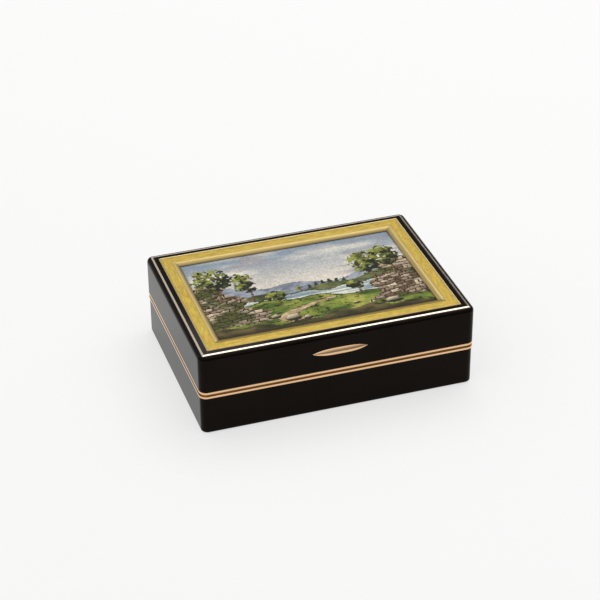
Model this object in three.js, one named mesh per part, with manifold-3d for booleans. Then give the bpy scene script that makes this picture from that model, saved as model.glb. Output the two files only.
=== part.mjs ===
import * as THREE from 'three';
import { mergeVertices } from 'three/addons/utils/BufferGeometryUtils.js';
import Module from 'manifold-3d';

// A rectangular pocket snuff box of polished dark shell with gold mounts. Two gold rim bands meet at
// mid height, a hinge of interleaved knuckles is let into the back, and the lid carries a micromosaic
// picture in a mitred gold frame. All sizes are in millimetres.
// The origin is the centre of the underside. +X runs to the right, +Y to the hinge, +Z up.

const wasm = await Module();
wasm.setup();

// The box's outline and heights
const boxWidth = 84;
const boxDepth = 60.8;
const seamHeight = 13.2;
const lidHeight = 12.9;
const cornerRadius = 2.3;
const topEdgeRadius = 1.2;
const bottomEdgeRadius = 0.9;
const lidOverhang = 0.2;

// The two hollow shells
const baseWall = 2.25;
const baseFloor = 2.4;
const lidWall = 2.4;
const lidPlate = 2.4;
const hollowCornerRadius = 1.2;

// The gold rim bands, each an L that caps the edge of its shell. A narrow channel runs round the box
// at the seam, half of it in each band.
const bandHeight = 1.07;
const bandThickness = 0.6;
const bandFlange = 0.6;
const bandEdgeRadius = 0.15;
const channelHeight = 0.36;
const channelDepth = 0.55;
const seamGap = 0.04;

// The bezel that stands up inside the closed lid, and the gold pans that line the box
const lipThickness = 0.5;
const lipRise = 1.6;
const lipDrop = 2.6;
const lipClearance = 0.1;
const linerThickness = 0.4;
const linerCornerRadius = 1.4;
const linerEdgeRadius = 1.1;
const linerClearance = 0.35;

// The hinge
const knuckleCount = 7;
const hingeMargin = 11.5;
const knuckleRadius = 1.05;
const knuckleBore = 0.5;
const knuckleChamfer = 0.12;
const knuckleGap = 0.08;
const pinRadius = 0.45;
const coveClearance = 0.1;
const bearerDepth = 1.65;
const plugLength = 0.6;

// The gold lines let into the top of the lid, just inside its rounded edge
const stringingMargin = 0.1;
const stringingWidth = 0.6;
const stringingDepth = 0.5;
const stringingRise = 0.04;
const stringingFall = 0.12;

// The picture's frame. A border of bare shell lies outside it, and it slopes down from its crest to
// the sight edge round the picture.
const borderWidth = 1.4;
const frameWidth = 4.05;
const frameRise = 0.24;
const frameBead = 0.44;
const frameFlatSink = 0.1;
const quirkWidth = 0.08;
const quirkDepth = 0.06;
const crestWidth = 0.85;
const slopeWidth = 1.15;
const sightSink = 0.85;
const sightEdge = 0.12;
const skirtThickness = 0.5;
const skirtDrop = 0.12;
const mitreGap = 0.02;

// The picture and what holds it in the lid
const frameLap = 2.7;
const trayWall = 0.4;
const trayFloor = 0.4;
const masticDepth = 0.5;
const mosaicSink = 0.15;

// The thumbpiece, a pointed oval boss riveted to the front of the lid
const thumbLength = 16.8;
const thumbHeight = 2.16;
const thumbFullness = 3.3;
const thumbRim = 0.25;
const thumbProud = 0.9;
const thumbRise = 7.35;
const rivetRadius = 0.4;
const rivetHeadRadius = 0.8;
const rivetHeadThickness = 0.35;
const rivetClearance = 0.05;
const rivetSpacing = 8;

// Pieces that are cemented or soldered together stand this far apart
const glueLine = 0.05;

// Fineness of the curves
const cornerSteps = 6;
const edgeSteps = 5;
const roundSegments = 32;
const thumbStations = 28;
const thumbSteps = 10;

// Heights and places that follow from the sizes above
const lidTop = seamHeight + lidHeight;
const frameTop = lidTop + frameRise;
const plateUnderside = lidTop - lidPlate;
const baseHollowInset = lidOverhang + baseWall;
const lipInset = Math.max(baseHollowInset + glueLine, lidWall + lipClearance);
const lipTop = seamHeight + lipRise;
const lipBottom = seamHeight - lipDrop;
const hingeY = boxDepth / 2;
const hingeLength = boxWidth - 2 * hingeMargin;
const stringingInset = topEdgeRadius + stringingMargin;
const frameInset = stringingInset + stringingWidth + borderWidth;
const crestInset = frameInset + frameWidth;
const sightInset = crestInset + slopeWidth;
const windowInset = frameInset + frameLap;
const sightHeight = frameTop - sightSink;
const sightUnderside = sightHeight - sightEdge;
const skirtBottom = sightUnderside - skirtDrop;
const mosaicTop = sightUnderside - mosaicSink;
const trayInset = windowInset + glueLine;
const masticInset = trayInset + trayWall + glueLine;
const panelInset = Math.max(masticInset, windowInset + glueLine * 2 + skirtThickness + glueLine);
const masticBottom = plateUnderside + trayFloor;
const masticTop = masticBottom + masticDepth;
const thumbZ = seamHeight + thumbRise;

// Finishes
const shell = new THREE.MeshStandardMaterial({ color: 0x120c0a, roughness: 0.12, metalness: 0 });
const polishedGold = new THREE.MeshStandardMaterial({ color: 0xd9a760, roughness: 0.22, metalness: 1 });
const paleGold = new THREE.MeshStandardMaterial({ color: 0xe8d2b4, roughness: 0.18, metalness: 1 });
const matGold = new THREE.MeshStandardMaterial({ color: 0xcda543, roughness: 0.5, metalness: 1 });
const liningGold = new THREE.MeshStandardMaterial({ color: 0xd8b060, roughness: 0.3, metalness: 1 });
const copper = new THREE.MeshStandardMaterial({ color: 0xa8623c, roughness: 0.5, metalness: 1 });
const mastic = new THREE.MeshStandardMaterial({ color: 0xa59a7c, roughness: 0.9, metalness: 0 });
const tesserae = new THREE.MeshStandardMaterial({ color: 0x8c8f7a, roughness: 0.45, metalness: 0 });

// One level of a form that follows the box's plan: how far in, how high, and the corner's radius
function level(inset, height, corner) {
  return { inset, height, corner };
}

// A corner that keeps the wall's outline parallel as it moves in
function parallelCorner(inset) {
  return Math.max(cornerRadius - inset, 0);
}

// The lid's corners tighten towards the top, so that the flat top holds the stringing's sharp corners
function lidCorner(inset) {
  const sharpest = Math.min(cornerRadius, stringingMargin / (1 - Math.SQRT1_2));
  return cornerRadius - (cornerRadius - sharpest) * inset / topEdgeRadius;
}

// The plan of the box at one level, anticlockwise from above
function planLoop({ inset, height, corner }) {
  const reachX = boxWidth / 2 - inset - corner;
  const reachY = boxDepth / 2 - inset - corner;
  const quarters = [[1, 1], [-1, 1], [-1, -1], [1, -1]];
  const loop = [];
  quarters.forEach(([signX, signY], quarter) => {
    for (let step = 0; step <= cornerSteps; step += 1) {
      const angle = (quarter + step / cornerSteps) * Math.PI / 2;
      const x = signX * reachX + corner * Math.cos(angle);
      const y = signY * reachY + corner * Math.sin(angle);
      loop.push(new THREE.Vector3(x, y, height));
    }
  });
  return loop;
}

// Levels along a quarter round, from the steep end to the flat end. The round starts at the given
// inset and height, and moves in and up, or down where the rise is negative.
function quarterRound(inset, height, radius, rise, cornerOf) {
  const levels = [];
  for (let step = 0; step <= edgeSteps; step += 1) {
    const angle = step / edgeSteps * Math.PI / 2;
    const stepInset = inset + radius * (1 - Math.cos(angle));
    levels.push(level(stepInset, height + rise * radius * Math.sin(angle), cornerOf(stepInset)));
  }
  return levels;
}

// Triangles that close a flat loop, in the loop's own direction
function capOf(loop) {
  const span = new THREE.Box3().setFromPoints(loop).getSize(new THREE.Vector3());
  const flat = loop.map((point) => {
    if (span.z < 1e-6) return new THREE.Vector2(point.x, point.y);
    if (span.x >= span.y) return new THREE.Vector2(point.x, point.z);
    return new THREE.Vector2(point.y, point.z);
  });
  return THREE.ShapeUtils.triangulateShape(flat, []).map((face) => face.sort((a, b) => a - b));
}

// Keeps positions only, merges shared points, drops triangles that have shrunk to a line, and turns
// the faces outwards
function tidy(geometry) {
  geometry.deleteAttribute('normal');
  geometry.deleteAttribute('uv');
  const merged = mergeVertices(geometry, 1e-5);
  const index = merged.getIndex().array;
  const position = merged.getAttribute('position');
  const faces = [];
  const a = new THREE.Vector3();
  const b = new THREE.Vector3();
  const c = new THREE.Vector3();
  let volume = 0;
  for (let i = 0; i < index.length; i += 3) {
    const [i0, i1, i2] = index.slice(i, i + 3);
    if (i0 === i1 || i1 === i2 || i2 === i0) continue;
    a.fromBufferAttribute(position, i0);
    b.fromBufferAttribute(position, i1);
    c.fromBufferAttribute(position, i2);
    volume += a.dot(b.cross(c)) / 6;
    faces.push([i0, i1, i2]);
  }
  const outward = volume < 0 ? faces.map(([i0, i1, i2]) => [i0, i2, i1]) : faces;
  merged.setIndex(outward.flat());
  return merged;
}

// A skin over a run of loops. A closed run comes back to its first loop, an open one is capped.
function skinOver(loops, closed) {
  const count = loops[0].length;
  const faces = [];
  const spans = closed ? loops.length : loops.length - 1;
  for (let span = 0; span < spans; span += 1) {
    const near = span * count;
    const far = ((span + 1) % loops.length) * count;
    for (let i = 0; i < count; i += 1) {
      const next = (i + 1) % count;
      faces.push(near + i, near + next, far + next);
      faces.push(near + i, far + next, far + i);
    }
  }
  if (!closed) {
    const last = (loops.length - 1) * count;
    capOf(loops[0]).forEach(([i, j, k]) => faces.push(k, j, i));
    capOf(loops[loops.length - 1]).forEach(([i, j, k]) => faces.push(last + i, last + j, last + k));
  }
  const geometry = new THREE.BufferGeometry().setFromPoints(loops.flat());
  geometry.setIndex(faces);
  return tidy(geometry);
}

// A rim, frame or wall that runs round the box, from the levels of its section
function ringOf(levels) {
  return skinOver(levels.map(planLoop), true);
}

// A pan or slab, from the levels of its outside and, for a pan, on down its inside
function panOf(levels) {
  return skinOver(levels.map(planLoop), false);
}

// A straight rail along one side of the box with mitred ends. The section is a list of
// [inset, height] points, and the side is a quarter turn from the front one.
function mitredRail(section, quarterTurns) {
  const sideways = quarterTurns % 2 === 1;
  const halfAlong = (sideways ? boxDepth : boxWidth) / 2;
  const halfAcross = (sideways ? boxWidth : boxDepth) / 2;
  const ends = [-1, 1].map((sign) => section.map(([inset, height]) => {
    const along = sign * (halfAlong - inset - mitreGap / 2);
    return new THREE.Vector3(along, inset - halfAcross, height);
  }));
  const rail = skinOver(ends, false);
  return rail.rotateZ(quarterTurns * Math.PI / 2);
}

// To and from the solids that booleans work on
function toSolid(geometry) {
  const merged = tidy(geometry);
  return new wasm.Manifold(new wasm.Mesh({
    numProp: 3,
    vertProperties: new Float32Array(merged.getAttribute('position').array),
    triVerts: new Uint32Array(merged.getIndex().array),
  }));
}

function fromSolid(solid) {
  const mesh = solid.getMesh();
  const geometry = new THREE.BufferGeometry();
  geometry.setAttribute('position', new THREE.BufferAttribute(mesh.vertProperties, 3));
  geometry.setIndex(new THREE.BufferAttribute(mesh.triVerts, 1));
  return geometry;
}

function cutFrom(body, ...tools) {
  return fromSolid(tools.reduce((rest, tool) => rest.subtract(toSolid(tool)), toSolid(body)));
}

// The base shell: a tray whose rim is stepped down outside, under the leg of its band
function baseShell() {
  const outerInset = lidOverhang;
  const stepInset = bandThickness + glueLine;
  const bandFoot = seamHeight - bandHeight - glueLine;
  const rim = seamHeight - bandFlange - glueLine;
  const underside = quarterRound(outerInset, bottomEdgeRadius, bottomEdgeRadius, -1, parallelCorner);
  const tray = panOf([
    ...underside.reverse(),
    level(outerInset, bandFoot, parallelCorner(outerInset)),
    level(stepInset, bandFoot, parallelCorner(stepInset)),
    level(stepInset, rim, parallelCorner(stepInset)),
    level(baseHollowInset, rim, hollowCornerRadius),
    level(baseHollowInset, baseFloor, hollowCornerRadius),
  ]);
  return cutFrom(tray, hingeNotch());
}

// The lid shell: a cover with a groove for the stringing, a window for the picture and a rim stepped
// up outside, over the leg of its band. The front wall is drilled for the thumbpiece.
function lidShell() {
  const stepInset = bandThickness + glueLine;
  const bandHead = seamHeight + bandHeight + glueLine;
  const rim = seamHeight + bandFlange + glueLine;
  const grooveFloor = lidTop - stringingDepth;
  const grooveInner = stringingInset + stringingWidth;
  const cover = ringOf([
    level(0, bandHead, cornerRadius),
    ...quarterRound(0, lidTop - topEdgeRadius, topEdgeRadius, 1, lidCorner),
    level(stringingInset, lidTop, 0),
    level(stringingInset, grooveFloor, 0),
    level(grooveInner, grooveFloor, 0),
    level(grooveInner, lidTop, 0),
    level(windowInset, lidTop, 0),
    level(windowInset, plateUnderside, 0),
    level(lidWall, plateUnderside, hollowCornerRadius),
    level(lidWall, rim, hollowCornerRadius),
    level(stepInset, rim, parallelCorner(stepInset)),
    level(stepInset, bandHead, parallelCorner(stepInset)),
  ]);
  const drilled = rivetPlaces().flatMap((x) => [
    frontRod(rivetRadius + rivetClearance, x, -boxDepth / 2 - 1, -boxDepth / 2 + lidWall + 1),
    frontRod(rivetHeadRadius + rivetClearance, x, rivetHeadY() - glueLine, -boxDepth / 2 + lidWall + 1),
  ]);
  return cutFrom(cover, hingeNotch(), ...drilled);
}

// A rim band as an L in section, with its half of the channel at the seam. Up is +1 for the lid's band,
// which rises from the seam, and -1 for the base's band, which hangs from it.
function rimBand(up, hollowInset) {
  const at = (inset, rise, corner) => level(inset, seamHeight + up * rise, corner);
  const face = seamGap / 2;
  const band = ringOf([
    at(bandThickness, bandFlange, parallelCorner(bandThickness)),
    at(bandThickness, bandHeight, parallelCorner(bandThickness)),
    at(bandEdgeRadius, bandHeight, parallelCorner(bandEdgeRadius)),
    at(0, bandHeight - bandEdgeRadius, cornerRadius),
    at(0, face + channelHeight, cornerRadius),
    at(channelDepth, face + channelHeight, parallelCorner(channelDepth)),
    at(channelDepth, face, parallelCorner(channelDepth)),
    at(hollowInset, face, hollowCornerRadius),
    at(hollowInset, bandFlange, hollowCornerRadius),
  ]);
  return cutFrom(band, hingeNotch());
}

// The bezel is soldered inside the base and slides into the lid
function innerLip() {
  const inner = lipInset + lipThickness;
  return ringOf([
    level(lipInset, lipBottom, hollowCornerRadius),
    level(lipInset, lipTop - lipThickness / 2, hollowCornerRadius),
    level(lipInset + lipThickness / 3, lipTop, hollowCornerRadius),
    level(inner - lipThickness / 3, lipTop, hollowCornerRadius),
    level(inner, lipTop - lipThickness / 2, hollowCornerRadius),
    level(inner, lipBottom, hollowCornerRadius),
  ]);
}

// A lining pan, from its closed side to its rim and back. Towards is +1 where the rim is above the
// closed side, and -1 where it hangs below.
function liner(inset, closedSide, rimHeight, towards) {
  const outerCorner = () => linerCornerRadius;
  const inner = inset + linerThickness;
  const innerSide = closedSide + towards * linerThickness;
  const outerEdge = closedSide + towards * linerEdgeRadius;
  const innerRadius = linerEdgeRadius - linerThickness / 2;
  const innerEdge = innerSide + towards * innerRadius;
  const outside = quarterRound(inset, outerEdge, linerEdgeRadius, -towards, outerCorner);
  const inside = quarterRound(inner, innerEdge, innerRadius, -towards, outerCorner);
  return panOf([
    ...outside.reverse(),
    level(inset, rimHeight, linerCornerRadius),
    level(inner, rimHeight, linerCornerRadius),
    ...inside,
  ]);
}

// A cut through the back edge of a shell or band, wide and deep enough for the hinge
function hingeNotch() {
  const reach = bearerDepth + glueLine;
  const length = hingeLength + 2 * (plugLength + knuckleGap + glueLine);
  const notch = new THREE.BoxGeometry(length, 2 * reach, 2 * reach);
  return notch.translate(0, hingeY, seamHeight);
}

// A cove strip along the hinge. Its hollow face clears the knuckles, and its flat faces finish level
// with the back and the seam.
function hingeBearer(up) {
  const cove = knuckleRadius + coveClearance;
  const startAngle = Math.asin(seamGap / 2 / cove);
  const section = new THREE.Shape();
  section.moveTo(bearerDepth, seamGap / 2);
  section.lineTo(bearerDepth, bearerDepth);
  section.lineTo(0, bearerDepth);
  section.absarc(0, 0, cove, Math.PI / 2, startAngle, true);
  const strip = new THREE.ExtrudeGeometry(section, {
    depth: hingeLength + 2 * (plugLength + knuckleGap),
    bevelEnabled: false,
    curveSegments: roundSegments / 4,
  });
  strip.translate(0, 0, -(hingeLength / 2 + plugLength + knuckleGap));
  const turn = new THREE.Matrix4().makeBasis(
    new THREE.Vector3(0, -1, 0),
    new THREE.Vector3(0, 0, up),
    new THREE.Vector3(1, 0, 0),
  );
  strip.applyMatrix4(turn);
  strip.translate(0, hingeY, seamHeight);
  return tidy(strip);
}

// A turned form about the hinge's axis, from [radius, distance along] points, starting at x
function turnedOnHinge(profile, x) {
  const points = profile.map(([radius, along]) => new THREE.Vector2(radius, along));
  const turned = new THREE.LatheGeometry(points, roundSegments);
  turned.rotateZ(-Math.PI / 2);
  turned.translate(x, hingeY, seamHeight);
  return tidy(turned);
}

// One knuckle of the hinge, counted from the left
function knuckle(place) {
  const pitch = hingeLength / knuckleCount;
  const length = pitch - knuckleGap;
  const start = -hingeLength / 2 + place * pitch + knuckleGap / 2;
  return turnedOnHinge([
    [knuckleBore, 0],
    [knuckleRadius - knuckleChamfer, 0],
    [knuckleRadius, knuckleChamfer],
    [knuckleRadius, length - knuckleChamfer],
    [knuckleRadius - knuckleChamfer, length],
    [knuckleBore, length],
    [knuckleBore, 0],
  ], start);
}

function hingePin() {
  const length = hingeLength;
  return turnedOnHinge([[0, 0], [pinRadius, 0], [pinRadius, length], [0, length]], -length / 2);
}

// A domed plug at one end of the hinge: -1 for the left, +1 for the right
function hingePlug(side) {
  const dome = plugLength / 2;
  const profile = [[0, 0], [knuckleRadius, 0], [knuckleRadius, plugLength - dome]];
  for (let step = 1; step <= edgeSteps; step += 1) {
    const angle = step / edgeSteps * Math.PI / 2;
    const radius = knuckleRadius * Math.cos(angle);
    profile.push([step === edgeSteps ? 0 : radius, plugLength - dome + dome * Math.sin(angle)]);
  }
  const start = hingeLength / 2 + knuckleGap / 2;
  const plug = turnedOnHinge(profile, start);
  return side > 0 ? plug : plug.rotateZ(Math.PI).translate(0, 2 * hingeY, 0);
}

// Points over a bead in section, clockwise from one angle to another, 0 being the outer side
function beadArc(middleInset, radius, fromAngle, toAngle) {
  const arc = [];
  for (let step = 0; step <= edgeSteps * 2; step += 1) {
    const angle = fromAngle + (toAngle - fromAngle) * step / (edgeSteps * 2);
    const inset = middleInset - radius * Math.cos(angle);
    arc.push([inset, frameTop - radius * (1 - Math.sin(angle))]);
  }
  return arc;
}

// The section of the picture's frame: a bead outside, a flat between two narrow quirks, a broad low
// bead as its crest, a slope down to the sight edge, and a skirt that drops into the window
function frameSection() {
  const skirtInner = windowInset + glueLine + skirtThickness;
  const flat = frameTop - frameFlatSink;
  const beadFall = frameFlatSink + quirkDepth;
  const bead = frameBead / 2;
  const crest = (crestWidth ** 2 / 4 + beadFall ** 2) / (2 * beadFall);
  const crestTurn = Math.asin(crestWidth / 2 / crest);
  const outerBead = beadArc(frameInset + bead, bead, 0, Math.PI - Math.asin(1 - beadFall / bead));
  const quirkInset = outerBead[outerBead.length - 1][0];
  const crestStart = crestInset - crestWidth;
  const section = [
    [frameInset, lidTop],
    ...outerBead,
    [quirkInset + quirkWidth, flat],
    [crestStart - quirkWidth, flat],
    ...beadArc(crestInset - crestWidth / 2, crest, Math.PI / 2 - crestTurn, Math.PI / 2 + crestTurn),
    [sightInset, sightHeight],
    [sightInset, sightUnderside],
    [skirtInner, sightUnderside],
    [skirtInner, skirtBottom],
    [windowInset + glueLine, skirtBottom],
    [windowInset + glueLine, lidTop],
  ];
  return section;
}

// The stringing's top falls outwards, as the lid's edge begins to round
function stringingSection() {
  const outer = stringingInset + glueLine / 2;
  const inner = stringingInset + stringingWidth - glueLine / 2;
  const floor = lidTop - stringingDepth;
  const top = lidTop + stringingRise;
  return [[outer, floor], [outer, top - stringingFall], [inner, top], [inner, floor]];
}

// A shallow tray with square corners, open on top
function mosaicTray() {
  const rim = skirtBottom - glueLine;
  return panOf([
    level(trayInset, plateUnderside, 0),
    level(trayInset, rim, 0),
    level(trayInset + trayWall, rim, 0),
    level(trayInset + trayWall, masticBottom, 0),
  ]);
}

function slab(inset, bottom, top) {
  return panOf([level(inset, bottom, 0), level(inset, top, 0)]);
}

// The thumbpiece is a flat-backed boss with a pointed oval outline and a rounded face. The higher its
// fullness, the later it falls away towards the tips.
function thumbpiece() {
  const wall = -boxDepth / 2;
  const loops = [];
  for (let station = 0; station <= thumbStations; station += 1) {
    const along = -1 + 2 * station / thumbStations;
    const swell = 1 - Math.abs(along) ** thumbFullness;
    const half = thumbHeight / 2 * swell;
    const dome = (thumbProud - thumbRim) * swell;
    const rim = thumbRim * Math.sqrt(swell);
    const x = along * thumbLength / 2;
    const loop = [new THREE.Vector3(x, wall, thumbZ - half)];
    for (let step = 0; step <= thumbSteps; step += 1) {
      const angle = step / thumbSteps * Math.PI;
      const proud = rim + dome * Math.sin(angle);
      loop.push(new THREE.Vector3(x, wall - proud, thumbZ - half * Math.cos(angle)));
    }
    loop.push(new THREE.Vector3(x, wall, thumbZ + half));
    loops.push(loop);
  }
  return skinOver(loops, true);
}

// Rods through the front wall, from one y to another
function frontRod(radius, x, fromY, toY) {
  const rod = new THREE.CylinderGeometry(radius, radius, toY - fromY, roundSegments / 2);
  return rod.translate(x, (fromY + toY) / 2, thumbZ);
}

function rivetPlaces() {
  return [-rivetSpacing / 2, rivetSpacing / 2];
}

function rivetHeadY() {
  return -boxDepth / 2 + lidWall - rivetHeadThickness;
}

// A rivet starts at the thumbpiece's back and is burred over in a countersink inside the wall
function thumbRivet(x) {
  const headY = rivetHeadY();
  const shank = toSolid(frontRod(rivetRadius, x, -boxDepth / 2, headY + rivetHeadThickness / 2));
  const head = toSolid(frontRod(rivetHeadRadius, x, headY, headY + rivetHeadThickness));
  return fromSolid(shank.add(head));
}

// The assembly
const snuffBox = new THREE.Group();
const base = new THREE.Group();
const lid = new THREE.Group();
snuffBox.add(base, lid);

function addPiece(group, name, geometry, material) {
  const mesh = new THREE.Mesh(geometry, material);
  mesh.name = name;
  group.add(mesh);
}

addPiece(base, 'base_shell', baseShell(), shell);
addPiece(base, 'base_rim_band', rimBand(-1, baseHollowInset), polishedGold);
addPiece(base, 'base_inner_lip', innerLip(), liningGold);
addPiece(
  base,
  'base_liner',
  liner(baseHollowInset + glueLine, baseFloor + glueLine, lipBottom - glueLine, 1),
  liningGold,
);
addPiece(base, 'base_hinge_bearer', hingeBearer(-1), polishedGold);
addPiece(base, 'hinge_pin', hingePin(), polishedGold);
addPiece(base, 'hinge_plug_left', hingePlug(-1), polishedGold);
addPiece(base, 'hinge_plug_right', hingePlug(1), polishedGold);

addPiece(lid, 'lid_shell', lidShell(), shell);
addPiece(lid, 'lid_rim_band', rimBand(1, lidWall), polishedGold);
addPiece(
  lid,
  'lid_liner',
  liner(lidWall + glueLine, plateUnderside - glueLine, lipTop + linerClearance, -1),
  liningGold,
);
addPiece(lid, 'lid_hinge_bearer', hingeBearer(1), polishedGold);
addPiece(lid, 'mosaic_tray', mosaicTray(), copper);
addPiece(lid, 'mosaic_mastic', slab(masticInset, masticBottom, masticTop), mastic);
addPiece(lid, 'mosaic_panel', slab(panelInset, masticTop, mosaicTop), tesserae);

// Every second knuckle belongs to the base, starting and ending with one of the base's
for (let place = 0; place < knuckleCount; place += 1) {
  const onBase = place % 2 === 0;
  const name = `${onBase ? 'base' : 'lid'}_knuckle_${Math.floor(place / 2) + 1}`;
  addPiece(onBase ? base : lid, name, knuckle(place), polishedGold);
}

// The stringing and the frame are mitred at the corners, one strip and one rail to a side
['front', 'right', 'back', 'left'].forEach((side, quarterTurns) => {
  addPiece(lid, `lid_stringing_${side}`, mitredRail(stringingSection(), quarterTurns), paleGold);
  addPiece(lid, `frame_rail_${side}`, mitredRail(frameSection(), quarterTurns), matGold);
});

addPiece(lid, 'thumbpiece', thumbpiece(), polishedGold);
['left', 'right'].forEach((side, index) => {
  addPiece(lid, `thumbpiece_rivet_${side}`, thumbRivet(rivetPlaces()[index]), polishedGold);
});

export default snuffBox;
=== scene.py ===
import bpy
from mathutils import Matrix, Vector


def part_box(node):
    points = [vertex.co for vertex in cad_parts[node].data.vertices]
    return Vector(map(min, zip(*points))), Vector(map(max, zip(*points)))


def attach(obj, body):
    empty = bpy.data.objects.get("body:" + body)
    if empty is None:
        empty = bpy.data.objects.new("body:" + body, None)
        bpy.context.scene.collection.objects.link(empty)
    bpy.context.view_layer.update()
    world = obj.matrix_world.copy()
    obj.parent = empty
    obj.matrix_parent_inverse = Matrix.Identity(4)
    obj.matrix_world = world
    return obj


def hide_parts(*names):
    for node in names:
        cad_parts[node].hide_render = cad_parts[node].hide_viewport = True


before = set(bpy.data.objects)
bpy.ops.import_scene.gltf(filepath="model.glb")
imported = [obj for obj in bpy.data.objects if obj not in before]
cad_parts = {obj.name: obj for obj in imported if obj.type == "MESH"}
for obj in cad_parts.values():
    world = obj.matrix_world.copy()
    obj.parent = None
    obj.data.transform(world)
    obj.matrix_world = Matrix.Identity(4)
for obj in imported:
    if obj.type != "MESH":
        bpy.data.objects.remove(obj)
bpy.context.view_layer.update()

import bpy
import bmesh
import math
import numpy as np
from mathutils import Matrix, Vector

scene = bpy.context.scene
MM = 0.001


# Camera
# The camera stands at the photograph's viewing angle, in front of the box, to its left and above it,
# with a long lens. Its place is in millimetres from the middle of the box's underside.
camera_place = Vector((-154.44, -472.24, 328.13)) * MM
camera_right = Vector((0.950093, -0.311849, -0.008595))
camera_up = Vector((0.171475, 0.499009, 0.849463))
camera_back = camera_right.cross(camera_up)
lens_length = 116.66
sensor_width = 36

camera_data = bpy.data.cameras.new("photo_camera")
camera_data.lens = lens_length
camera_data.sensor_width = sensor_width
camera_data.clip_start = 0.02
camera_data.clip_end = 30
camera = bpy.data.objects.new("photo_camera", camera_data)
turn = Matrix((camera_right, camera_up, camera_back)).transposed().to_4x4()
camera.matrix_world = Matrix.Translation(camera_place) @ turn
scene.collection.objects.link(camera)
scene.camera = camera


# Table and light
# The box stands on a plain white paper sweep in a soft studio: a sky that is dim near the horizon,
# bright overhead and brighter on the left, and one soft box high up behind the box, to its right.
paper_colour = (0.93, 0.93, 0.92, 1)
paper_flat = 1.6
paper_reach = 2
paper_rise = 0.54
paper_steps = 64
paper_opening = 3
paper_drop = 0.02 * MM
white_share = 0.62
sky_lean = Vector((-0.25, 0, 1))
lamp_direction = Vector((0.4, 0.42, 0.83))
lamp_distance = 1
lamp_width = 1.1
lamp_depth = 0.6
lamp_power = 2.9


def set_inputs(node, **values):
    """Sets a node's input values by name, with _ for a space."""
    for name, value in values.items():
        node.inputs[name.replace("_", " ")].default_value = value


def add_node(tree, kind, **settings):
    """A shader node of a kind, with its properties and input values set."""
    node = tree.nodes.new("ShaderNode" + kind)
    for name in [name for name in settings if hasattr(node, name)]:
        setattr(node, name, settings.pop(name))
    set_inputs(node, **settings)
    return node


def colour_mix(tree, **settings):
    """A node that mixes two colours."""
    return add_node(tree, "Mix", data_type="RGBA", **settings)


def wire_up(tree, *wires):
    """Joins nodes, each wire given as a node, its output, the next node and its input."""
    for source, source_end, target, target_end in wires:
        tree.links.new(source.outputs[source_end], target.inputs[target_end])


def new_material(name):
    """A new material, its node tree and its main shader."""
    made = bpy.data.materials.new(name)
    made.use_nodes = True
    return made, made.node_tree, made.node_tree.nodes["Principled BSDF"]


sky = bpy.data.worlds.new("studio_sky")
scene.world = sky
sky.use_nodes = True
tree = sky.node_tree
tree.nodes.clear()
sky_out = add_node(tree, "OutputWorld")
sky_glow = add_node(tree, "Background")
sky_place = add_node(tree, "TexCoord")
sky_height = add_node(tree, "VectorMath", operation="DOT_PRODUCT")
sky_height.inputs[1].default_value = sky_lean
sky_ramp = add_node(tree, "ValToRGB")
sky_rays = add_node(tree, "LightPath")
beyond_paper = add_node(tree, "Background", Color=paper_colour)
sky_mix = add_node(tree, "MixShader")
# The camera sees more white paper where the sweep ends
wire_up(
    tree,
    (sky_place, "Generated", sky_height, 0),
    (sky_height, "Value", sky_ramp, "Fac"),
    (sky_ramp, "Color", sky_glow, "Color"),
    (sky_rays, "Is Camera Ray", sky_mix, 0),
    (sky_glow, 0, sky_mix, 1),
    (beyond_paper, 0, sky_mix, 2),
    (sky_mix, 0, sky_out, "Surface"),
)
# Sine of the height above the leaning horizon, and the grey there
sky_steps = ((0, 0.22), (0.3, 0.22), (0.49, 0.5), (0.62, 0.7), (0.85, 1))
while len(sky_ramp.color_ramp.elements) < len(sky_steps):
    sky_ramp.color_ramp.elements.new(0.5)
for element, (height, grey) in zip(sky_ramp.color_ramp.elements, sky_steps):
    element.position = height
    element.color = (grey, grey, grey, 1)

lamp_data = bpy.data.lights.new("soft_box", "AREA")
lamp_data.shape = "RECTANGLE"
lamp_data.size = lamp_width
lamp_data.size_y = lamp_depth
lamp_data.energy = lamp_power
lamp = bpy.data.objects.new("soft_box", lamp_data)
lamp.location = lamp_direction.normalized() * lamp_distance
lamp.rotation_euler = (-lamp_direction).to_track_quat("-Z", "Y").to_euler()
scene.collection.objects.link(lamp)

# The paper lies flat under the box and curls up to a low wall behind it and beside it, open in front
paper_curl = paper_reach - paper_flat
paper_profile = [(0, 0), (paper_flat, 0)]
for angle in np.linspace(0, math.pi / 2, 9)[1:]:
    reach = paper_flat + paper_curl * math.sin(angle)
    paper_profile.append((reach, paper_curl * (1 - math.cos(angle))))
paper_profile.append((paper_reach, paper_rise))
paper_points = []
for radius, height in paper_profile:
    for bearing in np.linspace(0, 2 * math.pi, paper_steps, endpoint=False):
        raised = min(max(1 + paper_opening * math.sin(bearing), 0), 1)
        paper_points.append((radius * math.cos(bearing), radius * math.sin(bearing), height * raised))
rings = range(0, len(paper_points), paper_steps)
paper_faces = [
    (near + here, far + here, far + (here + 1) % paper_steps, near + (here + 1) % paper_steps)
    for near, far in zip(rings, rings[1:])
    for here in range(paper_steps)
]
paper_mesh = bpy.data.meshes.new("paper_sweep")
paper_mesh.from_pydata(paper_points, [], paper_faces)
paper_mesh.polygons.foreach_set("use_smooth", [True] * len(paper_mesh.polygons))
paper_sweep = bpy.data.objects.new("paper_sweep", paper_mesh)
paper_sweep.location.z = -paper_drop
scene.collection.objects.link(paper_sweep)

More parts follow.
